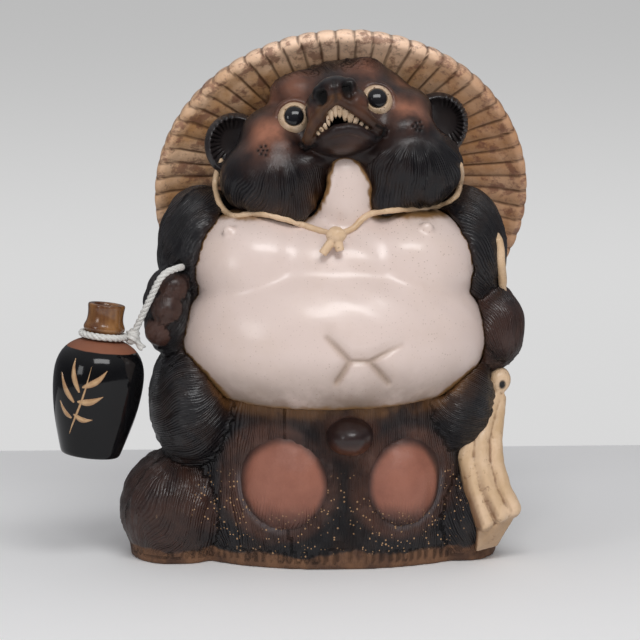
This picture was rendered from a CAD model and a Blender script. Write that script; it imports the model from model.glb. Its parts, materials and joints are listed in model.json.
# %% [markdown]
# A seated tanuki in glazed stoneware: a hollow clay body with a straw hat on its back, a ledger under one
# paw and a bottle that hangs from the other on a rope. The solids give every lump its size and place.
# Here the lumps are luted together as the potter did it, combed, glazed and fired.

# %% The frame
import json
import math

import bmesh
import bpy
import numpy as np
from mathutils import Matrix, Vector
from mathutils.bvhtree import BVHTree
from mathutils.kdtree import KDTree

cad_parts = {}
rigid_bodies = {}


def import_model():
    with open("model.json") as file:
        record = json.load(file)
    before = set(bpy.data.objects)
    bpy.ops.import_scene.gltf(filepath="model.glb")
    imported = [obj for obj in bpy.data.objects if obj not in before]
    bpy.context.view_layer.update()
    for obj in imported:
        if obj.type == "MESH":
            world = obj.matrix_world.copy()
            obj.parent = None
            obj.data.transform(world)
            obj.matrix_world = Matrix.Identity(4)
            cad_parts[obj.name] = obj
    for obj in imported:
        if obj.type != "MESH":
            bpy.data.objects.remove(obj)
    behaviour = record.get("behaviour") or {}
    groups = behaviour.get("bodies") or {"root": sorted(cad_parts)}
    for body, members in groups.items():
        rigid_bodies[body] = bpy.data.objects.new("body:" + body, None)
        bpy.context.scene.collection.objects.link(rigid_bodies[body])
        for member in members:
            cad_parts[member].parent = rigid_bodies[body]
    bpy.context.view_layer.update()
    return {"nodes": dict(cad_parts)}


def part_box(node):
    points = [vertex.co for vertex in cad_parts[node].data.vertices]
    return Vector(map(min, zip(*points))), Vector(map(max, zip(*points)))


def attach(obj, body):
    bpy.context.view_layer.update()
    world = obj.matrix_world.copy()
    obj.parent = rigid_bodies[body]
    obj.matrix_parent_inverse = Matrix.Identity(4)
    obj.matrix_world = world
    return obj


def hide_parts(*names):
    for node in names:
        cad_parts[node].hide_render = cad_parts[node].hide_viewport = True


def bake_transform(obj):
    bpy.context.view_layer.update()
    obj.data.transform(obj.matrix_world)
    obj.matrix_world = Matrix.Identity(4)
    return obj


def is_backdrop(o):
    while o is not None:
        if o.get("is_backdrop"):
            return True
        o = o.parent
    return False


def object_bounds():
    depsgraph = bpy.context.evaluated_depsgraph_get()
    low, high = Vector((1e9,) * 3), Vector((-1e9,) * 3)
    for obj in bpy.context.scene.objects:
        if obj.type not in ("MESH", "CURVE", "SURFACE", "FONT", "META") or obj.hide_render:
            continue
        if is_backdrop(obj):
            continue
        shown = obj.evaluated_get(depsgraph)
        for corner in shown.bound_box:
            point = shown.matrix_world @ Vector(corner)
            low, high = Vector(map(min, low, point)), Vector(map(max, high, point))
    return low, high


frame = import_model()
MM = 0.001

# %% [markdown]
# The photograph was taken with a long lens a little above the statue's middle and a little to its right
# hand. The camera is placed by angle and distance, and the lens follows from the frame's width there.

# %% The camera
scene = bpy.context.scene
scene.view_settings.view_transform = "Standard"
LOOK_AT = Vector((-11, 0, 176)) * MM
AZIMUTH = math.radians(-3)
ELEVATION = math.radians(6.5)
DISTANCE = 1600 * MM
FRAME_WIDTH = 492.8 * MM
SENSOR = 36.0
toward_camera = Vector((
    math.sin(AZIMUTH) * math.cos(ELEVATION),
    -math.cos(AZIMUTH) * math.cos(ELEVATION),
    math.sin(ELEVATION),
))
camera_data = bpy.data.cameras.new("camera")
camera_data.sensor_width = SENSOR
camera_data.lens = SENSOR * DISTANCE / FRAME_WIDTH
camera = bpy.data.objects.new("camera", camera_data)
camera.location = LOOK_AT + toward_camera * DISTANCE
camera.rotation_euler = (-toward_camera).to_track_quat("-Z", "Y").to_euler()
scene.collection.objects.link(camera)
scene.camera = camera
print("lens", round(camera_data.lens, 1), "mm")

# %% [markdown]
# Wet clay joins without a seam. To lute lumps together, copies of their solids are put in one mesh, filled
# with small cubes and skinned again, and the skin is smoothed as a wet sponge would do it.

# %% Helpers for clay
WELD = 0.00002
SPONGE_SHARE = 0.5
ROLL_STEP = 0.4
RAY_START = -300


def new_piece(name, mesh):
    """A piece at the origin, with its place in its mesh."""
    piece = bpy.data.objects.new(name, mesh)
    scene.collection.objects.link(piece)
    return piece


def as_piece(name, bm):
    """Turns a finished bmesh into a piece."""
    mesh = bpy.data.meshes.new(name)
    bm.to_mesh(mesh)
    bm.free()
    return new_piece(name, mesh)


def settle(piece):
    """Makes the result of a piece's modifiers its own mesh."""
    graph = bpy.context.evaluated_depsgraph_get()
    mesh = bpy.data.meshes.new_from_object(piece.evaluated_get(graph))
    piece.modifiers.clear()
    piece.data = mesh
    return piece


def solid_copy(bm, node, shift=(0, 0, 0)):
    """Adds a welded copy of a solid's mesh, shifted by a few millimetres where the potter pushed it."""
    part = bmesh.new()
    part.from_mesh(frame["nodes"][node].data)
    bmesh.ops.remove_doubles(part, verts=part.verts, dist=WELD)
    bmesh.ops.translate(part, verts=part.verts, vec=Vector(shift) * MM)
    mesh = bpy.data.meshes.new("copy")
    part.to_mesh(mesh)
    part.free()
    bm.from_mesh(mesh)
    bpy.data.meshes.remove(mesh)


def add_egg(bm, centre, size, turn=(0, 0, 0), detail=4):
    """Adds an egg of clay: its centre and half sizes in millimetres, its turn in degrees."""
    place = Matrix.Translation(Vector(centre) * MM)
    for angle, axis in zip(turn, "XYZ"):
        place = place @ Matrix.Rotation(math.radians(angle), 4, axis)
    place = place @ Matrix.Diagonal((*(Vector(size) * MM), 1))
    bmesh.ops.create_icosphere(bm, subdivisions=detail, radius=1, matrix=place)


def add_roll(bm, points, radii):
    """Adds a roll of clay along points, with a radius for each, in millimetres."""
    for start, end, first, last in zip(points, points[1:], radii, radii[1:]):
        run = Vector(end) - Vector(start)
        steps = max(2, round(run.length / (ROLL_STEP * min(first, last))))
        for step in range(steps + 1):
            share = step / steps
            size = first + (last - first) * share
            add_egg(bm, Vector(start) + run * share, (size, size, size), detail=2)


def lute(name, nodes, voxel, sponge, extra=None):
    """Lutes solids, and the lumps that extra adds, into one skin."""
    bm = bmesh.new()
    for node in nodes:
        solid_copy(bm, node)
    if extra:
        extra(bm)
    piece = as_piece(name, bm)
    skin = piece.modifiers.new("skin", "REMESH")
    skin.mode = "VOXEL"
    skin.voxel_size = voxel * MM
    soften = piece.modifiers.new("soften", "SMOOTH")
    soften.factor = SPONGE_SHARE
    soften.iterations = sponge
    settle(piece)
    print(name, "faces", len(piece.data.polygons))
    return piece


def vertex_rows(piece, name):
    """Three numbers for each vertex of a piece or solid."""
    values = np.empty(len(piece.data.vertices) * 3)
    piece.data.vertices.foreach_get(name, values)
    return values.reshape(-1, 3)


def places(piece):
    """The vertices of a piece in millimetres."""
    return vertex_rows(piece, "co") / MM


def normals(piece):
    """The outward direction at each vertex."""
    return vertex_rows(piece, "normal")


def reshape(piece, points):
    """Gives a piece's vertices new places in millimetres."""
    piece.data.vertices.foreach_set("co", (points * MM).ravel())
    piece.data.update()


def push(piece, depth):
    """Moves each vertex outwards by its depth in millimetres."""
    reshape(piece, places(piece) + normals(piece) * depth[:, None])


def middle_of(node):
    """The middle of a solid's box in millimetres."""
    low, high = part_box(node)
    return (Vector(low) + Vector(high)) / 2 / MM


def paint(piece, name, values):
    """Stores a value for each vertex, which the glazes read."""
    layer = piece.data.attributes.new(name, "FLOAT", "POINT")
    layer.data.foreach_set("value", np.asarray(values, dtype=np.float32))


def shade_smooth(piece):
    piece.data.polygons.foreach_set("use_smooth", [True] * len(piece.data.polygons))


def ramp(values, low, high):
    """0 below low, 1 above high and a smooth rise between them."""
    share = np.clip((values - low) / (high - low), 0, 1)
    return share * share * (3 - 2 * share)


def ripple(points, size, seed):
    """Random smooth waves about one size across, mostly from -1 to 1."""
    draw = np.random.default_rng(seed)
    total = np.zeros(len(points))
    for _ in range(8):
        heading = draw.normal(size=points.shape[1])
        heading *= draw.uniform(0.6, 1.5) / np.linalg.norm(heading)
        total += np.sin(points @ heading * (2 * math.pi / size) + draw.uniform(0, 2 * math.pi))
    return total / 3


def hollows(piece, rounds):
    """How deep each vertex lies below the skin smoothed by that many rounds, in millimetres."""
    mesh = piece.data
    ends = np.empty(len(mesh.edges) * 2, dtype=np.int64)
    mesh.edges.foreach_get("vertices", ends)
    first, second = ends[0::2], ends[1::2]
    count = np.bincount(ends, minlength=len(mesh.vertices))[:, None]
    start = places(piece)
    points = start.copy()
    for _ in range(rounds):
        total = np.zeros_like(points)
        np.add.at(total, first, points[second])
        np.add.at(total, second, points[first])
        points = total / np.maximum(count, 1)
    return np.einsum("ij,ij->i", points - start, normals(piece))


def near(points, centre, size):
    """1 at a place and fading to 0 about one size away from it."""
    return np.exp(-np.sum(((points - np.array(centre)) / size) ** 2, axis=1))


def node_points(nodes):
    """The vertices of solids in millimetres, and the number of the solid that each belongs to."""
    clouds = []
    owners = []
    for number, node in enumerate(nodes):
        cloud = np.unique(np.round(places(frame["nodes"][node]), 1), axis=0)
        clouds.append(cloud)
        owners.append(np.full(len(cloud), number))
    return np.concatenate(clouds), np.concatenate(owners)


def search_tree(cloud):
    """A tree that finds the nearest point of a cloud."""
    tree = KDTree(len(cloud))
    for number, place in enumerate(cloud):
        tree.insert(place, number)
    tree.balance()
    return tree


def nearest(points, nodes):
    """For each point, the number of the nearest solid and the distance to it in millimetres."""
    cloud, owners = node_points(nodes)
    tree = search_tree(cloud)
    found = [tree.find(point) for point in points]
    owner = owners[[hit[1] for hit in found]]
    return owner, np.array([hit[2] for hit in found])


def gap_to(points, pieces):
    """The distance of each point from the nearest vertex of some pieces, in millimetres."""
    tree = search_tree(np.concatenate([places(piece) for piece in pieces]))
    return np.array([tree.find(point)[2] for point in points])


def smooth_line(points):
    """Points read from one smooth line through a route, in millimetres."""
    curve = bpy.data.curves.new("route", "CURVE")
    curve.dimensions = "3D"
    curve.resolution_u = 24
    line = curve.splines.new("NURBS")
    line.points.add(len(points) - 1)
    for point, place in zip(line.points, points):
        point.co = (*place, 1)
    line.order_u = 3
    line.use_endpoint_u = True
    holder = bpy.data.objects.new("route", curve)
    mesh = bpy.data.meshes.new_from_object(holder)
    found = [vertex.co.copy() for vertex in mesh.vertices]
    bpy.data.objects.remove(holder)
    return found


def lie_on(line, pieces, lift):
    """Lays a line, drawn as seen from the front, on the pieces, with its depth evened out along the way."""
    bm = bmesh.new()
    for piece in pieces:
        bm.from_mesh(piece.data)
    tree = BVHTree.FromBMesh(bm)
    bm.free()
    met = {}
    for number, point in enumerate(line):
        hit = tree.ray_cast(Vector((point.x, RAY_START, point.z)) * MM, Vector((0, 1, 0)))[0]
        if hit:
            met[number] = hit.y / MM
    depths = np.interp(range(len(line)), list(met), list(met.values()))
    reach = len(depths) // 24
    padded = np.pad(depths, reach, mode="edge")
    even = np.convolve(padded, np.ones(2 * reach + 1) / (2 * reach + 1), "valid")
    return [Vector((point.x, depth - lift, point.z)) for point, depth in zip(line, even)]


# %% [markdown]
# The fur was drawn with a toothed comb in the wet clay. Every lump has its own sweep of the comb: lines
# that leave a crown and run round the lump like the meridians of a globe. Two numbers are stored at each
# vertex: how far it lies across the lines, which the glaze turns into grooves, and how deep the comb went.

# %% The comb
LOCK_WIDTH = 11
LOCK_LENGTH = 42


def sweep(points, crown, centre, radius, twist=0.0):
    """Across and along the lines that leave a crown and run round a lump, in millimetres."""
    axis = Vector(crown).normalized()
    side = axis.orthogonal().normalized()
    front = axis.cross(side)
    arms = points - np.array(centre)
    across = np.arctan2(arms @ np.array(front), arms @ np.array(side)) * radius
    along = np.arccos(np.clip(arms @ np.array(axis) / np.linalg.norm(arms, axis=1), -1, 1)) * radius
    return across + twist * along, along


def comb(piece, sweeps, wobble, tuft):
    """Combs each lump by its sweep; tufts are raised by up to tuft millimetres."""
    points = places(piece)
    names = list(sweeps)
    owner, _ = nearest(points, names)
    across = np.zeros(len(points))
    along = np.zeros(len(points))
    for number, name in enumerate(names):
        mine = owner == number
        crown, radius, twist = sweeps[name]
        across[mine], along[mine] = sweep(points[mine], crown, middle_of(name), radius, twist)
    across += wobble * ripple(points, 45, 3)
    flow = np.stack((across / LOCK_WIDTH, along / LOCK_LENGTH), axis=1)
    locks = ripple(flow, 1, 5)
    paint(piece, "across", across)
    return owner, locks * tuft


# %% [markdown]
# The trunk, with the arms, paws, legs, feet and tail luted to it, is the dark fur. It stands on the bare
# clay of its foot.

# %% Trunk and limbs
FUR_SWEEPS = {
    "base_ring": ((0, 0, 1), 100, 0.0),
    "body_front": ((0, 0, 1), 100, 0.0),
    "body_back": ((0, 0, 1), 100, 0.0),
    "tail": ((0, 0.4, 1), 34, 0.2),
    "arm_left": ((0.5, 0.1, 1), 42, 0.35),
    "arm_right": ((-0.5, 0.1, 1), 42, -0.35),
    "paw_left": ((0.2, 0.6, 1), 28, 0.2),
    "finger_top": ((0, 1, 0.3), 11, 0.0),
    "finger_middle": ((0, 1, 0.3), 11, 0.0),
    "finger_low": ((0, 1, 0.3), 11, 0.0),
    "paw_right": ((-0.2, 0.6, 1), 30, -0.2),
    "thigh_left": ((0.7, -0.3, 0.8), 44, 0.5),
    "thigh_right": ((-0.7, -0.3, 0.8), 44, -0.5),
    "foot_left": ((0.3, -0.2, 1), 46, 0.1),
    "foot_right": ((-0.3, -0.2, 1), 46, -0.1),
}
fur = lute("fur_body", FUR_SWEEPS, voxel=2.6, sponge=7)
owner, locks = comb(fur, FUR_SWEEPS, wobble=5.0, tuft=0.6)
skin = places(fur)
names = list(FUR_SWEEPS)
smooth_lumps = [names.index(name) for name in ("finger_top", "finger_middle", "finger_low", "base_ring")]
depth = np.where(np.isin(owner, smooth_lumps), 0.2, 1.0)
push(fur, locks * depth * ramp(skin[:, 2], 4, 20))
fur_depth = depth
BAGS = ("money_bag_left", "money_bag_right", "bag_knob")
_, gap = nearest(skin, BAGS)
fingers = np.isin(owner, smooth_lumps[:3])
ruddy = np.isin(owner, [names.index("foot_left"), names.index("paw_right")])
paint(fur, "warm", np.maximum(0.16 * (1 - ramp(gap, 1, 9)), 0.12 * fingers + 0.09 * ruddy))
by_bags = (1 - ramp(gap, 4, 34)) * ramp(85 - skin[:, 2], 0, 20)
paint(fur, "worn", by_bags + 0.5 * ramp(70 - skin[:, 2], 0, 30))
shade_smooth(fur)
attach(fur, "statue")
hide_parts(*FUR_SWEEPS)

# %% [markdown]
# The head looks up and leans to one side. Its lumps are modelled by hand over the skull's solid and sponged
# well: two brows, full cheeks and pads that fill the creases between them. On the sponged skull come the
# nose, the lids, the lips that rise to a point under the nose, and the jaw that almost closes on the teeth.
# Pores, nostrils and the corners of the mouth are pressed in last, and their depth is kept for the glaze.

# %% Head
LEAN = -13
CHEEK_SHIFT = (-4.5, 0, 0)
SKULL_LUMPS = (
    ((-30, -36, 353), (22, 24, 13)),
    ((18, -30, 364), (19, 24, 12.5)),
    ((-46, -40, 318), (28, 34, 24)),
    ((45, -38, 334), (27, 32, 22)),
    ((-21, -62, 300), (15, 21, 14)),
    ((27, -62, 302), (14, 21, 14)),
    ((-66, -36, 286), (22, 30, 26)),
    ((-46, -60, 306), (25, 24, 20)),
    ((47, -58, 321), (25, 24, 20)),
    ((-34, -66, 268), (17, 18, 14)),
    ((33, -64, 273), (14, 19, 14)),
)
LIP_PEAK = (-5.2, -108, 347.3)
LIP_LEFT = (
    (-14.3, -106, 339.8), (-18.5, -102, 332.8), (-21.7, -96, 325.7), (-24.3, -90, 318.5),
    (-27.8, -82, 312.5),
)
LIP_RIGHT = (
    (5.4, -106, 341.6), (13.4, -102, 335.9), (20.2, -96, 330.1), (26.5, -90, 325.5), (31.7, -82, 323.4),
)
LIP_RADII = (4.6, 4.8, 4.8, 4.5, 4.0, 3.2)
JAW_LIP = (
    (-24.6, -82, 312.2), (-17.8, -88, 314.7), (-11.8, -96, 319.6), (-4.8, -101, 323.7), (3.8, -102, 325.2),
    (10.3, -101, 324.0), (17.1, -96, 320.0), (24.8, -88, 317.5), (30.6, -80, 320.6),
)
JAW_RADII = (3.0, 3.8, 4.4, 4.6, 4.6, 4.5, 4.2, 3.6, 3.0)
FACE_LUMPS = (
    ((-6.2, -99, 353), (15, 14, 9.5), (0, LEAN, 0)),
    ((-17, -100, 349.5), (6.5, 9, 7.4), (0, 0, 0)),
    ((4.8, -100, 355), (6.5, 9, 7.4), (0, 0, 0)),
    ((-4, -80, 346), (14, 32, 13), (-14, LEAN, 0)),
    ((-16.5, -84, 336), (9, 24, 15), (-10, LEAN, 0)),
    ((8.5, -84, 342), (11, 24, 13), (-10, LEAN, 0)),
    ((2, -82, 315), (24, 20, 9), (-16, -6, 0)),
)
EYE_CENTRES = {"left": Vector((-33.0, -61.5, 330.2)), "right": Vector((26.2, -61.5, 342.4))}
EYE_LOOK = {"left": Vector((-0.06, -1, 0.28)), "right": Vector((0.06, -1, 0.34))}
LID_RADIUS = 13.4
LID_FORWARD = 4.5
LID_THIN = 2.3
LID_SWELL = 0.7
LID_STEPS = 20
PORES = ((-56.6, 309.0), (56.4, 326.3))
PORE_RING = 3.6
PORE_SIZE = 1.1
PORE_DEPTH = 1.1
NOSTRILS = ((-18.1, -107, 348.8), (4.5, -107, 354.8))
NOSTRIL_SIZE = (5.4, 10, 6.4)
NOSTRIL_DEPTH = 8.0
FURROW = ((-6.8, 358), (-5.4, 344))
FURROW_WIDTH = 1.7
FURROW_DEPTH = 1.1
SLIT_WIDTH = 1.3
SLIT_DEPTH = 1.4
MOUTH_HOLLOW = ((-2, -82, 327), (22, 11, 10))
CORNER_SLITS = (
    ((-29.6, 313.7), (-25.7, 309.2), (-19.9, 312.4)),
    ((25.5, 326.5), (31.4, 324.6), (30.7, 318.8), (25.5, 318.1)),
)
RED_SPOTS = (
    ((-54, -72, 317), 15, 1.2), ((50, -68, 336), 15, 0.9), ((-31, -56, 357), 15, 0.55),
    ((20, -50, 372), 15, 0.7), (EYE_CENTRES["left"], 22, 0.4), (EYE_CENTRES["right"], 22, 0.4),
    ((-22, -96, 332), 10, 0.55), ((12, -102, 340), 9, 0.45), ((0, -96, 316), 16, 0.12),
    ((-6, -112, 346), 9, 0.35), ((-44, -42, 348), 12, 0.5), ((40, -44, 352), 12, 0.5),
)
AMBER_SPOTS = (((-19, 268), (13, 15), 0.8), ((-45, 264), (22, 8), 0.6))


def from_line(points, start, end):
    """The distance of points, seen from the front, from a straight stroke."""
    start, end = np.array(start), np.array(end)
    run = end - start
    share = np.clip((points - start) @ run / (run @ run), 0, 1)
    return np.linalg.norm(points - start - share[:, None] * run, axis=1)


def from_route(points, route):
    """The distance of points from a line of strokes."""
    return np.min([from_line(points, *stroke) for stroke in zip(route, route[1:])], axis=0)


def add_skull(bm):
    """The cheeks, brows and pads."""
    for cheek in ("cheek_left", "cheek_right"):
        solid_copy(bm, cheek, CHEEK_SHIFT)
    for centre, size in SKULL_LUMPS:
        add_egg(bm, centre, size, (0, LEAN, 0))


def add_face(bm):
    """The sponged skull with its nose, muzzle, lips, jaw and lids."""
    bm.from_mesh(skull.data)
    for centre, size, turn in FACE_LUMPS:
        add_egg(bm, centre, size, turn)
    add_roll(bm, (LIP_PEAK,) + LIP_LEFT, LIP_RADII)
    add_roll(bm, (LIP_PEAK,) + LIP_RIGHT, LIP_RADII)
    add_roll(bm, JAW_LIP, JAW_RADII)
    for side, centre in EYE_CENTRES.items():
        look = EYE_LOOK[side].normalized()
        across = Vector((0, 0, 1)).cross(-look).normalized()
        up = (-look).cross(-across)
        circle = [2 * math.pi * step / LID_STEPS for step in range(LID_STEPS + 1)]
        lid = [
            centre + look * LID_FORWARD
            + across * (LID_RADIUS * math.cos(angle)) + up * (LID_RADIUS * math.sin(angle))
            for angle in circle
        ]
        add_roll(bm, lid, [LID_THIN + LID_SWELL * abs(math.sin(angle)) for angle in circle])


HEAD_SWEEPS = {
    "head": ((0, -1, 0.25), 60, 0.0),
    "brow_left": ((0.3, -1, -0.6), 26, 0.0),
    "brow_right": ((-0.3, -1, -0.6), 26, 0.0),
    "muzzle": ((0, -1, 0.4), 20, 0.0),
    "nose": ((0, -1, 0.4), 16, 0.0),
    "lower_jaw": ((0, -1, 0.2), 30, 0.0),
    "cheek_left": ((0.05, -0.75, 0.7), 36, 0.0),
    "cheek_right": ((-0.05, -0.75, 0.7), 36, 0.0),
}
skull = lute("skull", ("head",), voxel=2.0, sponge=46, extra=add_skull)
head = lute("head_fur", (), voxel=1.05, sponge=6, extra=add_face)
bpy.data.objects.remove(skull)
owner, locks = comb(head, HEAD_SWEEPS, wobble=2.0, tuft=0.8)
skin = places(head)
names = list(HEAD_SWEEPS)
cheek = np.isin(owner, [names.index("cheek_left"), names.index("cheek_right")])
cheek_top = 309 + 0.17 * skin[:, 0]
low_cheek = cheek * ramp(cheek_top - skin[:, 2], 0, 16)
crest = ramp(skin[:, 2] - 0.23 * skin[:, 0], 356, 368) * ramp(skin[:, 1], -58, -42)
head_depth = np.maximum(low_cheek, 0.7 * crest)
seen = skin[:, (0, 2)]
pores = np.zeros(len(skin))
for spot in PORES:
    for step in range(7):
        turn = 2 * math.pi * step / 6
        reach = 0 if step == 6 else PORE_RING * (0.8 + 0.2 * (step % 2))
        gap = np.linalg.norm(seen - spot - reach * np.array((math.cos(turn), math.sin(turn))), axis=1)
        pores = np.maximum(pores, np.exp(-((gap / PORE_SIZE) ** 2)) * (skin[:, 1] < -45))
wells = np.zeros(len(skin))
for place in NOSTRILS:
    wells = np.maximum(wells, near(skin, place, NOSTRIL_SIZE))
slits = np.zeros(len(skin))
for route in CORNER_SLITS:
    gap = from_route(seen, route)
    slits = np.maximum(slits, np.exp(-((gap / SLIT_WIDTH) ** 2)) * (skin[:, 1] < -60))
furrow = np.exp(-((from_line(seen, *FURROW) / FURROW_WIDTH) ** 2)) * ramp(-skin[:, 1], 100, 106)
pressed = locks * head_depth - PORE_DEPTH * pores - NOSTRIL_DEPTH * wells
push(head, pressed - FURROW_DEPTH * furrow - SLIT_DEPTH * slits)
mouth = near(skin, *MOUTH_HOLLOW) * ramp(skin[:, 1], -97, -90)
dark = 1.3 * pores + ramp(wells, 0.2, 0.55) + 0.6 * furrow + 1.6 * mouth + 0.9 * slits
paint(head, "dark", np.clip(dark, 0, 1))
warm = np.zeros(len(skin))
for place, size, strength in RED_SPOTS:
    warm = np.maximum(warm, strength * near(skin, place, size))
paint(head, "warm", np.clip(warm * (0.9 + 0.25 * ripple(skin, 30, 8)), 0, 1))
amber = np.zeros(len(skin))
for lip, strength in ((LIP_LEFT[:4], 0.7), (LIP_RIGHT[:4], 0.5)):
    gap = from_route(skin, (LIP_PEAK,) + lip) - LIP_RADII[0]
    amber = np.maximum(amber, strength * (1 - ramp(gap, 0.0, 3.0)))
for place, size, strength in AMBER_SPOTS:
    amber = np.maximum(amber, strength * near(seen, place, size) * (skin[:, 1] < -30))
shade_smooth(head)
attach(head, "statue")
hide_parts(*HEAD_SWEEPS, "upper_lip")

# %% [markdown]
# The belly, chest, breasts and throat were sponged into one smooth swelling form and glazed cream. The
# navel is a pair of forked creases pressed in with a stick.

# %% Belly
CREAM = ("belly", "chest", "breast_left", "breast_right", "throat")
NAVEL = ((4.4, 158.7), (18.9, 158.3))
NAVEL_FORKS = ((-12.5, 176.7), (-4.9, 142.6), (42.0, 170.0), (33.4, 141.6))
CREASE_WIDTH = 1.7
CREASE_DEPTH = 3.4
SLOPE_ABOVE = 3.5
SLOPE_WIDTH = 4.5
SLOPE_DEPTH = 1.4
NIPPLES = ((-81.1, 249.6), (63.0, 251.6))
NIPPLE_SIZE = (5.2, 3.2, 5.2)
BIB_LUMP = ((3, -62, 292), (15, 21, 17))
BIB_LEFT = ((259.2, -18.0), (274.8, -11.4), (286.5, -8.2), (294.3, -6.9), (304, -3.7))
BIB_RIGHT = ((266.9, 22.7), (276, 22.2), (285.1, 20.4), (295.5, 15.2), (304.6, 8))
BIB_TOP = 305


def add_bib(bm):
    """The top of the bib, which runs up under the jaw."""
    add_egg(bm, *BIB_LUMP)


def add_front(bm):
    """The sponged swelling with its two studs pressed on."""
    bm.from_mesh(swelling.data)
    for across, height in NIPPLES:
        place = lie_on([Vector((across, 0, height))], (swelling,), 0.4)[0]
        add_egg(bm, place, NIPPLE_SIZE)


swelling = lute("swelling", CREAM, voxel=2.2, sponge=34, extra=add_bib)
cream = lute("cream_front", (), voxel=1.6, sponge=4, extra=add_front)
bpy.data.objects.remove(swelling)
skin = places(cream)
seen = skin[:, (0, 2)]
strokes = [NAVEL]
strokes += [(NAVEL[0], fork) for fork in NAVEL_FORKS[:2]]
strokes += [(NAVEL[1], fork) for fork in NAVEL_FORKS[2:]]
gap = np.min([from_line(seen, *stroke) for stroke in strokes], axis=0)
fade = 1 - 0.6 * ramp(np.abs(skin[:, 0] - 11), 14, 32)
front = (skin[:, 1] < -90) * fade
crease = np.exp(-((gap / CREASE_WIDTH) ** 2)) * front
above = np.min([from_line(seen - (0, SLOPE_ABOVE), *stroke) for stroke in strokes], axis=0)
slope = np.exp(-((above / SLOPE_WIDTH) ** 2)) * front
push(cream, -CREASE_DEPTH * crease - SLOPE_DEPTH * slope + 0.25 * ripple(skin, 28, 21))
low = ramp(170 - skin[:, 2], 0, 62)
bib = ramp(skin[:, 2], 252, 268)
gap = gap_to(skin, (fur, head))
edge = 1 - ramp(gap, 0.4, 2.4 + 12 * low)
left = np.interp(skin[:, 2], *zip(*BIB_LEFT))
right = np.interp(skin[:, 2], *zip(*BIB_RIGHT))
inside = np.minimum(np.minimum(skin[:, 0] - left, right - skin[:, 0]), BIB_TOP - skin[:, 2])
inside += 1.3 * ripple(skin, 7, 22)
paint(cream, "edge", np.maximum(edge, 1.5 * bib * (1 - ramp(inside, -4, 5))))
paint(cream, "low", low)
paint(cream, "crease", np.clip(crease + 0.35 * slope, 0, 1))
shade_smooth(cream)
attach(cream, "statue")
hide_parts(*CREAM, "nipple_left", "nipple_right")

# %% [markdown]
# Where two glazes meet they run together, so the dark glaze thins to amber along the cream. Each dark skin
# stores how near the cream is, and the comb was lifted there.

# %% Where the glazes meet
for piece, depth, extra in ((fur, fur_depth, 0), (head, head_depth, amber)):
    skin = places(piece)
    under = ramp(165 - skin[:, 2], 0, 40)
    halo = (1 - ramp(gap_to(skin, (cream,)), 1, 6 + 14 * under)) * (0.3 + 0.6 * under)
    paint(piece, "halo", np.maximum(halo, extra))
    paint(piece, "depth", depth * (1 - 0.7 * halo))

# %% [markdown]
# The two bags and the knob between them are lumps of red clay. The bags were pressed flat, so they are a
# little narrower and lower than their solids. Each has a comb's strokes near its foot and a pale line of
# thin glaze round its outer edge, which is stored on the fur.

# %% Bags
BAG_FIT = {
    "money_bag_left": (4.5, 0.87, 0.94), "money_bag_right": (1.5, 0.83, 0.93), "bag_knob": (0.0, 1.0, 1.0),
}
BAG_SINK = 2.2
BAG_LINE = 1.2
skin_fur = places(fur)
seam = np.zeros(len(skin_fur))
for bag, (shift, wide, tall) in BAG_FIT.items():
    lump = lute(bag + "_clay", (bag,), voxel=1.3, sponge=6)
    middle = middle_of(bag)
    half = Vector(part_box(bag)[1]) / MM - middle
    skin = places(lump)
    skin[:, 0] = middle.x + shift + (skin[:, 0] - middle.x) * wide
    skin[:, 1] += BAG_SINK * (wide < 1)
    skin[:, 2] = middle.z + (skin[:, 2] - middle.z) * tall
    reshape(lump, skin)
    push(lump, 0.3 * ripple(skin, 16, 31))
    aside = (skin[:, 0] - middle.x - shift) / (half.x * wide)
    upward = (skin[:, 2] - middle.z) / (half.z * tall)
    rim = ramp(np.hypot(aside, upward), 0.66, 1.0)
    foot = ramp(-upward, 0.1, 0.95)
    paint(lump, "across", skin[:, 0] + 2 * ripple(skin, 30, 32))
    paint(lump, "rim", np.maximum(rim, 0.8 * foot))
    paint(lump, "foot", foot)
    if bag != "bag_knob":
        outer = ramp((skin_fur[:, 0] - middle.x) * np.sign(middle.x - 11), -20, 5)
        line = np.exp(-(((gap_to(skin_fur, (lump,)) - BAG_LINE) / BAG_LINE) ** 2))
        seam = np.maximum(seam, line * outer * ramp(middle.z + 12 - skin_fur[:, 2], 0, 12))
    shade_smooth(lump)
    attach(lump, "statue")
    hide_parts(bag)
paint(fur, "seam", seam)

# %% [markdown]
# The ears are dishes, a little shorter than their solids, with a row of ribs pressed into the inside of
# their outer wall.

# %% Ears
EAR_RIBS = 26
EAR_SHIFT = {"ear_left": 0.0, "ear_right": -3.6}
EAR_SHARE = 0.9
EAR_HALF = (22, 27)
RIB_HEIGHT = 2.0
RIB_SINK = 0.9
for side, ear in ((-1, "ear_left"), (1, "ear_right")):
    dish = lute(ear + "_dish", (ear,), voxel=0.9, sponge=3)
    skin = places(dish)
    skin[:, 0] += EAR_SHIFT[ear]
    skin[:, 2] = skin[:, 2].min() + (skin[:, 2] - skin[:, 2].min()) * EAR_SHARE
    reshape(dish, skin)
    facing = normals(dish)
    arms = skin - np.array(middle_of(ear))
    turn = np.arctan2(arms[:, 2], arms[:, 0] * side)
    reach = np.hypot(arms[:, 0] / EAR_HALF[0], arms[:, 2] / EAR_HALF[1])
    inside = ramp(-facing[:, 1], 0.1, 0.5) * ramp(reach, 0.35, 0.5) * (1 - ramp(reach, 0.7, 0.82))
    outer = 1 - ramp(np.abs(turn), 1.5, 2.0)
    ribs = np.abs(np.sin(turn * EAR_RIBS / 2))
    push(dish, (RIB_HEIGHT * ribs - RIB_SINK) * inside * outer)
    paint(dish, "groove", (1 - ribs) * inside * outer)
    shade_smooth(dish)
    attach(dish, "statue")
    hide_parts(ear)

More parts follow.
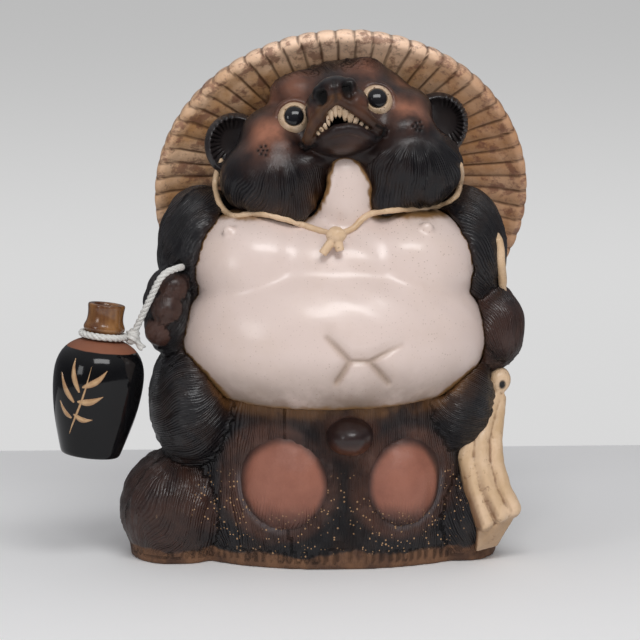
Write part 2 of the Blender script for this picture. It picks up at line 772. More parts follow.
# %% [markdown]
# An eye is an ivory ball with a raised ring, and a black dome seated in the ring. Both are turned shapes,
# so half of the section is drawn once and spun.

# %% Eyes
RING_SECTION = (
    (0, -8), (11, -6), (12.7, 0), (12.6, 4), (11.8, 8), (10.4, 10.6), (8.8, 12.2), (8.0, 12.7), (7.6, 12.3),
    (7.4, 11), (0, 10.6),
)
PUPIL_SECTION = ((0, 10.8), (7.3, 11.0), (7.2, 12.9), (6.2, 14.0), (4.4, 14.9), (2.2, 15.4), (0, 15.5))


def turned(name, section, place, steps=64):
    """Spins half a section, given as radius and height in millimetres, about its own axis."""
    bm = bmesh.new()
    corners = [bm.verts.new((radius * MM, 0, height * MM)) for radius, height in section]
    edges = [bm.edges.new(pair) for pair in zip(corners, corners[1:])]
    bmesh.ops.spin(
        bm, geom=corners + edges, axis=(0, 0, 1), cent=(0, 0, 0),
        steps=steps, angle=2 * math.pi, use_merge=True,
    )
    bmesh.ops.remove_doubles(bm, verts=bm.verts, dist=WELD)
    bmesh.ops.recalc_face_normals(bm, faces=bm.faces)
    bmesh.ops.transform(bm, matrix=place, verts=bm.verts)
    piece = as_piece(name, bm)
    shade_smooth(piece)
    return piece


def round_off(piece, levels):
    """Rounds a piece's corners by subdivision."""
    smooth = piece.modifiers.new("round", "SUBSURF")
    smooth.levels = levels
    smooth.render_levels = levels
    return piece


for side, look in EYE_LOOK.items():
    place = Matrix.Translation(EYE_CENTRES[side] * MM) @ look.to_track_quat("Z", "Y").to_matrix().to_4x4()
    ring = round_off(turned("eye_ring_" + side, RING_SECTION, place), 1)
    dome = round_off(turned("eye_dome_" + side, PUPIL_SECTION, place), 1)
    for piece, node, slot in ((ring, "eye_", "ivory_glaze"), (dome, "pupil_", "black_glaze")):
        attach(piece, "statue")
        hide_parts(node + side)

# %% [markdown]
# The teeth hang from the lips, longest under the nose. Each one is a flattened cone, and they stand so
# close that they touch at the root.

# %% Teeth
TEETH_EACH_SIDE = 7
TOOTH_LONG = 14.0
TOOTH_SHORT = 8.0
TOOTH_ROOT = 4.6
TOOTH_TIP = 0.8
TOOTH_SUNK = 1.5
TOOTH_FLAT = 0.6
GUM_LEFT = ((-5.3, -106, 344.5), (-11, -104, 338), (-15, -100, 330.5), (-18, -94, 323.5), (-20, -88, 317.5))
GUM_RIGHT = ((-5.3, -106, 344.5), (3.2, -104, 338.5), (10.5, -100, 332.8), (17.5, -94, 327), (23, -88, 323))
MOUTH_MIDDLE = Vector((0, -94, 318))


def tooth_places():
    """The root and length of each tooth, from the peak of the lips to each corner."""
    found = []
    for run in (GUM_LEFT, GUM_RIGHT):
        line = [Vector(point) for point in run]
        for number in range(TEETH_EACH_SIDE):
            share = (number + 0.45) / TEETH_EACH_SIDE
            spot = share * (len(line) - 1)
            first = min(int(spot), len(line) - 2)
            root = line[first].lerp(line[first + 1], spot - first)
            found.append((root, TOOTH_LONG + (TOOTH_SHORT - TOOTH_LONG) * share))
    return found


bm = bmesh.new()
for root, length in tooth_places():
    hang = (MOUTH_MIDDLE - root).normalized().lerp(Vector((0.05, 0.15, -1)), 0.45).normalized()
    turn = hang.to_track_quat("-Z", "Y").to_matrix().to_4x4()
    middle = root + hang * (length / 2 - TOOTH_SUNK)
    place = Matrix.Translation(middle * MM) @ turn @ Matrix.Diagonal((1, TOOTH_FLAT, 1, 1))
    bmesh.ops.create_cone(
        bm, cap_ends=True, segments=12, radius1=TOOTH_TIP * MM, radius2=TOOTH_ROOT * MM, depth=length * MM,
        matrix=place,
    )
tooth_row = round_off(as_piece("tooth_row", bm), 1)
shade_smooth(tooth_row)
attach(tooth_row, "statue")
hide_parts("teeth")

# %% [markdown]
# The hat is plaited straw: ribs run from the crown to the rim, where they are bound over a hoop. Its
# section is spun once with several steps for each rib, and then each step is pushed in or out to round
# the ribs.

# %% Hat
HAT_CENTRE = Vector((8, 40, 266))
HAT_AXIS = Vector((0, math.cos(math.radians(30)), math.sin(math.radians(30))))
HAT_RADIUS = 145.5
HAT_DEPTH = 38.0
HAT_THICKNESS = 10.0
HAT_RIBS = 64
STEPS_PER_RIB = 8
SECTION_STEPS = 26
HOOP = 9.0
HOOP_HEIGHT = 1.6
BINDING_WIDTH = 1.6
RIB_DEPTH = 1.7


def hat_section():
    """Half of the hat's section: its hollow side from the crown to the rim, then its back."""
    under = []
    for step in range(SECTION_STEPS + 1):
        radius = HAT_RADIUS * step / SECTION_STEPS
        under.append((radius, HAT_DEPTH * (1 - radius / HAT_RADIUS)))
    back = [(radius, height + HAT_THICKNESS) for radius, height in reversed(under)]
    return under + [(HAT_RADIUS + 0.5, HAT_THICKNESS / 2)] + back


hat = turned("straw_hat", hat_section(), Matrix.Identity(4), HAT_RIBS * STEPS_PER_RIB)
flat = places(hat)
reach = np.hypot(flat[:, 0], flat[:, 1])
turn = np.arctan2(flat[:, 1], flat[:, 0])
middle_height = HAT_DEPTH * (1 - reach / HAT_RADIUS) + HAT_THICKNESS / 2
side = np.sign(flat[:, 2] - middle_height)
lean = np.where(reach > HAT_RADIUS - HOOP, 0.5 * (reach - HAT_RADIUS + HOOP) / HOOP, 0)
bend = 0.15 * ripple(np.stack((np.cos(turn) * 3, np.sin(turn) * 3, reach / 30), axis=1), 1.3, 41)
rib = np.abs(np.cos((turn * HAT_RIBS / 2) + lean + bend))
rib_height = np.sqrt(rib)
fade = ramp(reach, 60, 72)
hoop = np.sqrt(np.clip(1 - ((reach - HAT_RADIUS + HOOP / 2) / (HOOP / 2)) ** 2, 0, 1))
bound = 1 - np.exp(-(((reach - HAT_RADIUS + HOOP + 1) / BINDING_WIDTH) ** 2))
height = RIB_DEPTH * fade * (rib_height - 0.8) * bound + HOOP_HEIGHT * hoop * rib_height - (1 - bound)
flat[:, 2] += side * height
flat[:, :2] *= (1 + (0.006 * (rib_height - 0.7) * ramp(reach, HAT_RADIUS - 4, HAT_RADIUS)))[:, None]
hat_turn = HAT_AXIS.to_track_quat("Z", "Y").to_matrix()
reshape(hat, flat @ np.array(hat_turn).T + np.array(HAT_CENTRE))
paint(hat, "groove", 1 - rib)
paint(hat, "rim", ramp(reach, HAT_RADIUS - HOOP - 1, HAT_RADIUS - HOOP + 1))
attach(hat, "statue")
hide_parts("hat")
print("hat faces", len(hat.data.polygons))

# %% [markdown]
# The chin cord and its knot are rolls of clay under tan glaze. The ledger is a book of folded paper: three
# thick pleats that spread towards the bottom and are cut off on a slant, one loose leaf beside them and an
# eyelet in the binding.

# %% Cord, ledger and strap
CORD_SHIFT = (-3.5, 0, 0)
CORD_RADIUS = 2.5
CORD_LEFT = (
    (-87, 0, 299), (-92, 0, 286), (-90, 0, 270), (-81.5, 0, 259.5), (-70, 0, 261), (-58.3, 0, 263),
    (-44, 0, 260), (-30.2, 0, 255.5), (-18, 0, 251), (-4, 0, 248),
)
CORD_RIGHT = (
    (-2, 0, 248), (9, 0, 251), (15, 0, 258), (21, 0, 262), (31, 0, 264.5), (42, 0, 265.3), (57, 0, 265),
    (72, 0, 264), (85, 0, 269), (93, 0, 277.5), (93, 0, 288), (88.5, 0, 299),
)
PLEATS = (
    (
        (115.4, -46, 128.6), (106.4, -52, 112.9), (98, -58, 96.1), (96, -62, 79),
        (99.8, -68, 56.7), (107.5, -74, 32.3),
    ),
    (
        (118.5, -48, 123.3), (111.7, -54, 108.7), (106.1, -60, 91.9), (105.7, -64, 75.9),
        (110.2, -69, 55.7), (118.6, -73, 38.6),
    ),
    (
        (122.5, -47, 120.9), (119.2, -52, 106.1), (116.5, -57, 89.1), (117.2, -61, 73),
        (121.6, -66, 56.1), (128.9, -70, 41.2),
    ),
)
PLEAT_RADII = (5.0, 6.2, 7.0, 7.4, 7.6, 7.4)
PLEAT_BACK = Vector((-1, 6, 0))
LOOSE_LEAF = ((113.9, -48, 135.6), (104.7, -56, 122.4), (96.2, -63, 109.1), (91.5, -66, 100.8))
LEDGER_END = (
    (113.4, -76, 26.2), (124.0, -75, 35.2), (132.6, -72, 38.0), (120.3, -66, 17.2), (119.0, -64, 11.2),
    (102.2, -68, 8.2), (102.6, -73, 26.5),
)
LEDGER_THICK = Vector((0, 18, 0))
CUT_LEFT = (102.6, 27)
CUT_SLOPE = 0.37
BINDING = ((122, -46, 134.7), (8.5, 9, 10), (0, 14, 0))
EYELET = ((123.6, -54, 131.9), (3.4, 6, 4.4))
EYELET_DEPTH = 3
LEAF_RADII = (2.6, 2.6, 2.4, 2.0)
STRAP = ((116, -38, 250), (119.6, -51, 240), (121.6, -51, 222.6), (124.9, -41, 201))
STRAP_RADII = (3.0, 3.9, 4.0, 3.2)


def add_ledger(bm):
    """The pleats, a second layer behind them, the loose leaf and the binding."""
    for pleat in PLEATS:
        add_roll(bm, pleat, PLEAT_RADII)
        add_roll(bm, [Vector(point) + PLEAT_BACK for point in pleat], PLEAT_RADII)
    add_roll(bm, LOOSE_LEAF, LEAF_RADII)
    corners = []
    for corner in LEDGER_END:
        corners += [bm.verts.new(place * MM) for place in (Vector(corner), Vector(corner) + LEDGER_THICK)]
    bmesh.ops.convex_hull(bm, input=corners)
    add_egg(bm, *BINDING)


def add_strap(bm):
    add_roll(bm, STRAP, STRAP_RADII)


def add_cord(bm):
    for route in (CORD_LEFT, CORD_RIGHT):
        line = lie_on(smooth_line(route), (head, cream, fur), 1.0)[::3]
        add_roll(bm, line, [CORD_RADIUS] * len(line))


def add_knot(bm):
    solid_copy(bm, "chin_knot", CORD_SHIFT)


TAN_PIECES = {
    "chin_cord": (add_cord, 0.8, 4), "chin_knot": (add_knot, 0.8, 5), "ledger": (add_ledger, 1.0, 4),
    "ledger_strap": (add_strap, 0.9, 6),
}
for node, (extra, voxel, sponge) in TAN_PIECES.items():
    piece = lute(node + "_clay", (), voxel, sponge, extra)
    skin = places(piece)
    hole = near(skin, *EYELET) if node == "ledger" else np.zeros(len(skin))
    stain = ramp(85 - skin[:, 2], 0, 40) * ramp(-normals(piece)[:, 0], 0.0, 0.6)
    cut_line = CUT_LEFT[1] + CUT_SLOPE * (skin[:, 0] - CUT_LEFT[0])
    cut = 0.5 * ramp(cut_line - skin[:, 2], -1, 2)
    push(piece, 0.15 * ripple(skin, 12, 51) + 0.08 * ripple(skin, 5, 52) - EYELET_DEPTH * hole)
    creases = ramp(hollows(piece, 7), 0.06, 0.5)
    paint(piece, "hollow", np.maximum(np.maximum(creases, stain), cut))
    paint(piece, "dark", ramp(hole, 0.3, 0.6))
    shade_smooth(piece)
    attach(piece, "statue")
    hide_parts(node)

# %% [markdown]
# The bottle is thrown on a wheel, so one spun section makes it. Its neck is a separate collar of amber
# glaze. Both lean with the rope.

# %% Bottle
BOTTLE_BASE = Vector((-184.81, -64, 84))
BOTTLE_TILT = math.radians(7)
BOTTLE_STEPS = 72
bottle_place = Matrix.Translation(BOTTLE_BASE * MM) @ Matrix.Rotation(BOTTLE_TILT, 4, "Y")
POT_SECTION = (
    (0, 1.2), (18, 0.8), (20.5, 0.2), (22, 1.5), (23.3, 6), (26.2, 16), (29.1, 26), (31.6, 38), (33.1, 50),
    (33.5, 60), (32.6, 68), (29.6, 76), (24.5, 81.5), (18.5, 85.2), (13, 87), (8.5, 87), (8.5, 79),
    (25.5, 69.6), (27.5, 43.5), (18, 4), (0, 4),
)
COLLAR_SECTION = (
    (8.5, 87), (13, 87), (13, 92.6), (14.8, 93.4), (15.3, 95), (15.2, 96.6), (13.6, 99.4), (13.0, 103),
    (13.1, 108), (13.8, 111.6), (13.4, 113), (11.2, 113.2), (9.2, 112.6), (8.5, 111), (8.5, 87),
)
pot = round_off(turned("bottle_pot", POT_SECTION, bottle_place, BOTTLE_STEPS), 1)
collar = round_off(turned("bottle_collar", COLLAR_SECTION, bottle_place, BOTTLE_STEPS), 1)
for piece, node, slot in ((pot, "bottle_body", "bottle_glaze"), (collar, "bottle_neck", "amber_glaze")):
    skin = places(piece) - np.array(BOTTLE_BASE)
    climb = skin @ np.array((math.sin(BOTTLE_TILT), 0, math.cos(BOTTLE_TILT)))
    paint(piece, "rise", climb)
    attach(piece, "bottle")
    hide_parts(node)

# %% [markdown]
# A sprig of leaves is brushed on the bottle in thick cream slip. Each stroke is a strip that tapers at both
# ends, bends a little and lies on the pot's curve with its edges sunk in.

# %% Sprig
SPRIG_TURN = math.radians(-112)
STROKE_STEPS = 16
STROKE_SPOTS = (-1, -0.8, 0, 0.8, 1)
SLIP_LIFT = 0.45
SLIP_ROUND = 0.7
STROKES = (
    ((-8, 18), (8, 70), -3, 2.0),
    ((-3, 42), (-17, 62), 2, 5.0),
    ((1, 50), (-7, 74), 2, 4.6),
    ((3, 54), (20, 68), -2, 5.0),
    ((0, 43), (19, 49), -2, 5.4),
    ((-3, 33), (13, 31), -2, 4.6),
    ((-5, 30), (-17, 41), 2, 4.4),
)
POT_OUTSIDE = POT_SECTION[2:15]


def on_pot(across, height, lift):
    """A place on the pot, by its distance round from the middle of the sprig and its height."""
    radius = np.interp(height, [row[1] for row in POT_OUTSIDE], [row[0] for row in POT_OUTSIDE]) + lift
    turn = SPRIG_TURN + across / POT_OUTSIDE[7][0]
    return bottle_place @ (Vector((radius * math.cos(turn), radius * math.sin(turn), height)) * MM)


bm = bmesh.new()
rims = []
for start, end, bend, width in STROKES:
    run = Vector(end) - Vector(start)
    left = Vector((-run.y, run.x)).normalized()
    rows = []
    for step in range(STROKE_STEPS + 1):
        share = step / STROKE_STEPS
        swell = math.sin(math.pi * (0.04 + 0.92 * share) ** 0.75)
        spine = Vector(start) + run * share + left * bend * math.sin(math.pi * share)
        row = []
        for spot in STROKE_SPOTS:
            place = spine + left * spot * width * swell / 2
            lift = SLIP_LIFT - SLIP_ROUND * spot**4
            row.append(bm.verts.new(on_pot(place.x, place.y, lift)))
            rims.append(abs(spot) ** 4)
        rows.append(row)
    for low_row, high_row in zip(rows, rows[1:]):
        for spot in range(len(STROKE_SPOTS) - 1):
            bm.faces.new((low_row[spot], high_row[spot], high_row[spot + 1], low_row[spot + 1]))
sprig = as_piece("bottle_sprig", bm)
paint(sprig, "rim", rims)
shade_smooth(sprig)
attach(sprig, "bottle")

# %% [markdown]
# A laid rope is three strands twisted round each other. Its route is one smooth line through a few points
# from the hole in the paw to the knot, and the strands wind about that line.

# %% Rope
ROPE = 5.0
LAY = 13.0
STRAND_OUT = 0.24
STRAND_RADIUS = 0.29
STEPS_PER_TURN = 14
ROPE_ROUTE = (
    (-116.1, -52, 222), (-116.1, -64, 223), (-118, -75, 223.5), (-130.1, -83, 220), (-138, -76, 203),
    (-149.2, -65.7, 179.3), (-152.7, -62.5, 171.7),
)


def strands(name, line, closed=False):
    """Three strands wound about a line, as one mesh."""
    curve = bpy.data.curves.new(name, "CURVE")
    curve.dimensions = "3D"
    curve.bevel_depth = STRAND_RADIUS * ROPE * MM
    curve.bevel_resolution = 2
    curve.use_fill_caps = True
    lengths = [0.0]
    for start, end in zip(line, line[1:]):
        lengths.append(lengths[-1] + (end - start).length)
    turns = lengths[-1] / LAY
    if closed:
        turns = round(turns)
    steps = int(turns * STEPS_PER_TURN)
    for strand in range(3):
        spline = curve.splines.new("POLY")
        spline.points.add(steps)
        spot = 0
        across = Vector((0, 0, 1))
        for step in range(steps + 1):
            along = lengths[-1] * step / steps
            while spot < len(line) - 2 and lengths[spot + 1] < along:
                spot += 1
            run = line[spot + 1] - line[spot]
            share = (along - lengths[spot]) / run.length
            across = (across - across.project(run)).normalized()
            lift = run.normalized().cross(across)
            angle = 2 * math.pi * (turns * step / steps + strand / 3)
            wind = (across * math.cos(angle) + lift * math.sin(angle)) * STRAND_OUT * ROPE
            place = line[spot] + run * share + wind
            spline.points[step].co = (*(place * MM), 1)
    holder = bpy.data.objects.new(name, curve)
    mesh = bpy.data.meshes.new_from_object(holder)
    bpy.data.objects.remove(holder)
    piece = new_piece(name, mesh)
    shade_smooth(piece)
    return piece, lengths[-1]


route = smooth_line(ROPE_ROUTE)
rope, rope_length = strands("rope_strands", route)
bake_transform(rope)
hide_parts("rope_bight", "rope_drop")

LOOP_RADIUS = 15.9
LOOP_HEIGHT = 90.0
LOOP_STEPS = 96
loop_line = []
for step in range(LOOP_STEPS + 1):
    angle = 2 * math.pi * step / LOOP_STEPS
    spot = Vector((LOOP_RADIUS * math.cos(angle), LOOP_RADIUS * math.sin(angle), LOOP_HEIGHT))
    loop_line.append(bottle_place @ (spot * MM) / MM)
loop, loop_length = strands("rope_loop", loop_line, closed=True)
knot = lute("rope_knot", ("sling_knot",), voxel=0.7, sponge=3)
push(knot, 0.5 * np.sin(places(knot) @ np.array((0.9, 0.3, 1.6))))
shade_smooth(knot)
for piece, node in ((loop, "neck_loop"), (knot, "sling_knot")):
    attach(piece, "sling")
    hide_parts(node)
print("rope", round(rope_length), "mm and loop", round(loop_length), "mm")

# %% [markdown]
# Finishes are made from node trees. A short helper adds a node, sets its values and joins its sockets.

# %% Helpers for finishes
def add(tree, kind, sockets=None, **settings):
    """Adds a node; a socket value that is itself a socket is joined, any other is set."""
    node = tree.nodes.new(kind)
    for name, value in settings.items():
        setattr(node, name, value)
    for name, value in (sockets or {}).items():
        if isinstance(value, bpy.types.NodeSocket):
            tree.links.new(value, node.inputs[name])
        else:
            node.inputs[name].default_value = value
    return node


def sums(tree, operation, first, second=0.0, third=0.0):
    """The result of one sum."""
    return add(tree, "ShaderNodeMath", {0: first, 1: second, 2: third}, operation=operation).outputs[0]


def times(tree, first, second):
    """The product of two values."""
    return sums(tree, "MULTIPLY", first, second)


def rise(tree, value, low, high):
    """A smooth rise from 0 at low to 1 at high."""
    sockets = {"Value": value, "From Min": low, "From Max": high}
    return add(tree, "ShaderNodeMapRange", sockets, interpolation_type="SMOOTHSTEP").outputs[0]


def blend_colours(tree, share, first, second):
    """A share of the second colour over the first."""
    return add(tree, "ShaderNodeMix", {0: share, 6: first, 7: second}, data_type="RGBA").outputs[2]


def noise(tree, scale, detail=3.0, roughness=0.6, stretch=None):
    """Cloudy noise on the object's own coordinates."""
    place = add(tree, "ShaderNodeTexCoord").outputs["Object"]
    if stretch:
        place = add(tree, "ShaderNodeMapping", {"Vector": place, "Scale": stretch}).outputs[0]
    sockets = {"Vector": place, "Scale": scale, "Detail": detail, "Roughness": roughness}
    return add(tree, "ShaderNodeTexNoise", sockets).outputs["Fac"]


def stored(tree, name):
    """A value that was stored at the vertices."""
    return add(tree, "ShaderNodeAttribute", attribute_name=name).outputs["Fac"]


def finish(name, **plain):
    """A new material, its tree and its shader, with plain shader values set."""
    material = bpy.data.materials.new(name)
    material.use_nodes = True
    tree = material.node_tree
    shader = tree.nodes["Principled BSDF"]
    for socket, value in plain.items():
        shader.inputs[socket.replace("_", " ")].default_value = value
    return material, tree, shader


def bump(tree, shader, height, distance, strength=1.0):
    """Turns a height into small relief; distance is in millimetres."""
    sockets = {"Height": height, "Distance": distance * MM, "Strength": strength}
    relief = add(tree, "ShaderNodeBump", sockets)
    tree.links.new(relief.outputs[0], shader.inputs["Normal"])


def patches(tree, scale, spread, least):
    """Roughness that varies in clouds, from least upwards."""
    return sums(tree, "MULTIPLY_ADD", noise(tree, scale), spread, least)


def coat(tree, shader, tint, roughness=None):
    """Gives a shader its colour and, where it varies, its roughness."""
    tree.links.new(tint, shader.inputs["Base Color"])
    if roughness is not None:
        tree.links.new(roughness, shader.inputs["Roughness"])


def dress(piece, material):
    piece.data.materials.clear()
    piece.data.materials.append(material)


def colour(red, green, blue):
    return (red, green, blue, 1.0)


# %% [markdown]
# Three effects are shared: the comb's grooves, the kiln's mottling and the specks of bare clay. Each is a
# node group with named sockets.

# %% Shared effects
def new_group(name, inputs, output):
    """A node group with number sockets, and its input and output nodes."""
    group = bpy.data.node_groups.new(name, "ShaderNodeTree")
    for socket in inputs:
        group.interface.new_socket(socket, in_out="INPUT", socket_type="NodeSocketFloat")
    group.interface.new_socket(output, in_out="OUTPUT", socket_type="NodeSocketFloat")
    return group, add(group, "NodeGroupInput"), add(group, "NodeGroupOutput")


comb_group, given, taken = new_group("comb_grooves", ("Across", "Depth", "Pitch"), "Height")
turn_per_pitch = sums(comb_group, "DIVIDE", 2 * math.pi, given.outputs["Pitch"])
shifted = sums(comb_group, "MULTIPLY_ADD", noise(comb_group, 90, 2.0), 2.2, given.outputs["Across"])
wave = sums(comb_group, "SINE", times(comb_group, shifted, turn_per_pitch))
fine = sums(comb_group, "POWER", sums(comb_group, "MULTIPLY_ADD", wave, 0.5, 0.5), 0.6)
loose = sums(comb_group, "MULTIPLY_ADD", noise(comb_group, 60, 2.0), 5.0, given.outputs["Across"])
strand_turn = sums(comb_group, "DIVIDE", 2.2, given.outputs["Pitch"])
strand = sums(comb_group, "SINE", times(comb_group, loose, strand_turn))
strand = sums(comb_group, "MULTIPLY_ADD", strand, 0.5, 0.5)
ridge = sums(comb_group, "MULTIPLY_ADD", strand, 0.5, times(comb_group, fine, 0.6))
patchy = rise(comb_group, noise(comb_group, 55, 3.0), 0.25, 0.6)
deep = times(comb_group, given.outputs["Depth"], patchy)
comb_group.links.new(times(comb_group, ridge, deep), taken.inputs["Height"])

mottle_group, given, taken = new_group("kiln_mottle", ("Scale", "Low", "High"), "Mask")
cloud = noise(mottle_group, given.outputs["Scale"], 5.0, 0.65)
spread = rise(mottle_group, cloud, given.outputs["Low"], given.outputs["High"])
mottle_group.links.new(spread, taken.inputs["Mask"])

speck_group, given, taken = new_group("clay_specks", ("Scale", "Size"), "Mask")
cells = add(speck_group, "ShaderNodeTexVoronoi", {
    "Vector": add(speck_group, "ShaderNodeTexCoord").outputs["Object"], "Scale": given.outputs["Scale"],
})
chance = add(speck_group, "ShaderNodeSeparateColor", {0: cells.outputs["Color"]}).outputs[0]
reach = times(speck_group, chance, given.outputs["Size"])
small = sums(speck_group, "LESS_THAN", cells.outputs["Distance"], reach)
rare = sums(speck_group, "GREATER_THAN", chance, 0.62)
speck_group.links.new(times(speck_group, small, rare), taken.inputs["Mask"])


def effect(tree, group, **sockets):
    """Places a shared effect in a finish and gives its output."""
    return add(tree, "ShaderNodeGroup", sockets, node_tree=group).outputs[0]


# %% [markdown]
# The fur's glaze is an iron glaze: almost black where it lies thick, red-brown where it is thin, and broken
# through to tan clay on the ridges near the foot. It stops short of the floor in a ragged line.

# %% Dark glaze
BLACK_IRON = colour(0.007, 0.0065, 0.008)
DEEP_BROWN = colour(0.020, 0.012, 0.010)
FACE_BROWN = colour(0.012, 0.006, 0.005)
RED_IRON = colour(0.42, 0.17, 0.10)
AMBER_EDGE = colour(0.045, 0.018, 0.008)
AMBER_THIN = colour(0.20, 0.095, 0.035)
TAN_CLAY = colour(0.42, 0.25, 0.13)
FOOT_CLAY = colour(0.17, 0.085, 0.045)
SMOKED_CLAY = colour(0.07, 0.035, 0.022)
RIDGE_GREY = colour(0.050, 0.042, 0.042)
PALE_SEAM = colour(0.18, 0.165, 0.175)
PIT_BLACK = colour(0.002, 0.0015, 0.0015)
FUR_PITCH = 2.0
BAG_PITCH = 2.4


def fur_glaze(name, with_foot, gloss_level, brown):
    """The combed dark glaze over a brown; with_foot adds the bare clay at the bottom."""
    material, tree, shader = finish(name, Specular_IOR_Level=gloss_level)
    marks = effect(
        tree, comb_group, Across=stored(tree, "across"), Depth=stored(tree, "depth"), Pitch=FUR_PITCH,
    )
    clouds = effect(tree, mottle_group, Scale=38.0, Low=0.42, High=0.72)
    tint = blend_colours(tree, clouds, BLACK_IRON, brown)
    warm = times(tree, stored(tree, "warm"), rise(tree, noise(tree, 30, 4.0), 0.2, 0.65))
    tint = blend_colours(tree, warm, tint, RED_IRON)
    halo = times(tree, stored(tree, "halo"), rise(tree, noise(tree, 40, 3.0), 0.1, 0.6))
    tint = blend_colours(tree, halo, tint, AMBER_EDGE)
    tint = blend_colours(tree, times(tree, rise(tree, halo, 0.4, 1.0), 0.6), tint, AMBER_THIN)
    thin = times(tree, sums(tree, "POWER", marks, 2.0), 0.16)
    tint = blend_colours(tree, thin, tint, RIDGE_GREY)
    tint = blend_colours(tree, times(tree, stored(tree, "seam"), 0.4), tint, PALE_SEAM)
    tint = blend_colours(tree, stored(tree, "dark"), tint, PIT_BLACK)
    gloss = rise(tree, noise(tree, 45, 3.0), 0.25, 0.75)
    roughness = sums(tree, "MULTIPLY_ADD", gloss, 0.16, 0.27)
    roughness = sums(tree, "MAXIMUM", roughness, times(tree, stored(tree, "dark"), 0.9))
    if with_foot:
        place = add(tree, "ShaderNodeTexCoord").outputs["Object"]
        height = add(tree, "ShaderNodeSeparateXYZ", {0: place}).outputs["Z"]
        specks = effect(tree, speck_group, Scale=420.0, Size=0.32)
        rubbed = times(tree, stored(tree, "worn"), noise(tree, 40, 3.0))
        worn = times(tree, specks, rise(tree, rubbed, 0.28, 0.5))
        tint = blend_colours(tree, worn, tint, TAN_CLAY)
        ragged = sums(tree, "MULTIPLY_ADD", noise(tree, 22, 4.0), 0.022, 0.0005)
        glazed = rise(tree, sums(tree, "SUBTRACT", height, ragged), -0.0015, 0.0015)
        bare = sums(tree, "SUBTRACT", 1.0, glazed)
        smoke = rise(tree, noise(tree, 60, 5.0), 0.35, 0.65)
        clay = blend_colours(tree, smoke, FOOT_CLAY, SMOKED_CLAY)
        tint = blend_colours(tree, bare, tint, clay)
        roughness = sums(tree, "MAXIMUM", roughness, times(tree, bare, 0.75))
    coat(tree, shader, tint, roughness)
    grain = times(tree, noise(tree, 420, 3.0), 0.22)
    bump(tree, shader, sums(tree, "ADD", marks, grain), 0.9)
    return material


dress(fur, fur_glaze("fur_glaze", True, 0.38, DEEP_BROWN))
dress(head, fur_glaze("face_glaze", False, 0.32, FACE_BROWN))

# %% [markdown]
# The cream glaze is thick and glossy, speckled with iron, greyer towards the bottom and stained amber where
# it thins out against the fur.

# %% Cream glaze
CREAM_PINK = colour(0.70, 0.57, 0.52)
CREAM_GREY = colour(0.16, 0.105, 0.065)
AMBER = colour(0.26, 0.14, 0.055)
BURNT = colour(0.030, 0.013, 0.008)
material, tree, shader = finish("cream_glaze", Roughness=0.35, Coat_Weight=0.3, Coat_Roughness=0.16)
clouds = effect(tree, mottle_group, Scale=16.0, Low=0.4, High=0.75)
tint = blend_colours(tree, times(tree, clouds, 0.35), CREAM_PINK, colour(0.60, 0.46, 0.37))
grey = times(tree, stored(tree, "low"), rise(tree, noise(tree, 26, 4.0), 0.1, 0.65))
tint = blend_colours(tree, grey, tint, CREAM_GREY)
specks = effect(tree, speck_group, Scale=480.0, Size=0.26)
speckled = times(tree, specks, rise(tree, noise(tree, 14, 2.0), 0.25, 0.7))
tint = blend_colours(tree, times(tree, speckled, 0.45), tint, colour(0.22, 0.13, 0.075))
tint = blend_colours(tree, times(tree, stored(tree, "crease"), 0.5), tint, colour(0.30, 0.20, 0.12))
uneven = sums(tree, "MULTIPLY_ADD", noise(tree, 110, 4.0), 0.8, -0.4)
edge = sums(tree, "ADD", stored(tree, "edge"), uneven)
tint = blend_colours(tree, rise(tree, edge, 0.2, 0.85), tint, AMBER)
tint = blend_colours(tree, rise(tree, edge, 0.95, 1.35), tint, BURNT)
coat(tree, shader, tint, patches(tree, 40, 0.2, 0.24))
bump(tree, shader, noise(tree, 130, 4.0), 0.3, 0.6)
dress(cream, material)

# %% [markdown]
# The bags are red clay under a thin dull slip that darkens towards their edges. The knob is almost black and
# turns red at its foot.

# %% Red clay
material, tree, shader = finish("red_clay", Roughness=0.55)
clouds = effect(tree, mottle_group, Scale=30.0, Low=0.35, High=0.7)
tint = blend_colours(tree, clouds, colour(0.30, 0.115, 0.075), colour(0.235, 0.085, 0.055))
uneven = sums(tree, "MULTIPLY_ADD", noise(tree, 45, 3.0), 0.5, -0.25)
rim = rise(tree, sums(tree, "ADD", stored(tree, "rim"), uneven), 0.1, 0.95)
tint = blend_colours(tree, rim, tint, colour(0.045, 0.022, 0.018))
specks = effect(tree, speck_group, Scale=420.0, Size=0.34)
rubbed = times(tree, stored(tree, "foot"), noise(tree, 45, 3.0))
broken = times(tree, specks, rise(tree, rubbed, 0.2, 0.4))
tint = blend_colours(tree, broken, tint, TAN_CLAY)
coat(tree, shader, tint, patches(tree, 60, 0.2, 0.4))
marks = effect(tree, comb_group, Across=stored(tree, "across"), Depth=stored(tree, "foot"), Pitch=BAG_PITCH)
grain = times(tree, noise(tree, 500, 3.0), 0.3)
bump(tree, shader, sums(tree, "ADD", marks, grain), 1.1)
bag_clay = material
material, tree, shader = finish("knob_clay", Roughness=0.3)
tint = blend_colours(tree, noise(tree, 45, 4.0), colour(0.012, 0.007, 0.007), colour(0.030, 0.014, 0.012))
tint = blend_colours(tree, stored(tree, "foot"), tint, colour(0.12, 0.045, 0.025))
coat(tree, shader, tint)
bump(tree, shader, noise(tree, 300, 3.0), 0.2)
for bag in BAGS:
    dress(bpy.data.objects[bag + "_clay"], material if bag == "bag_knob" else bag_clay)

# %% [markdown]
# Inside the ears the dark glaze is thick and glossy, and it is blackest between the ribs.

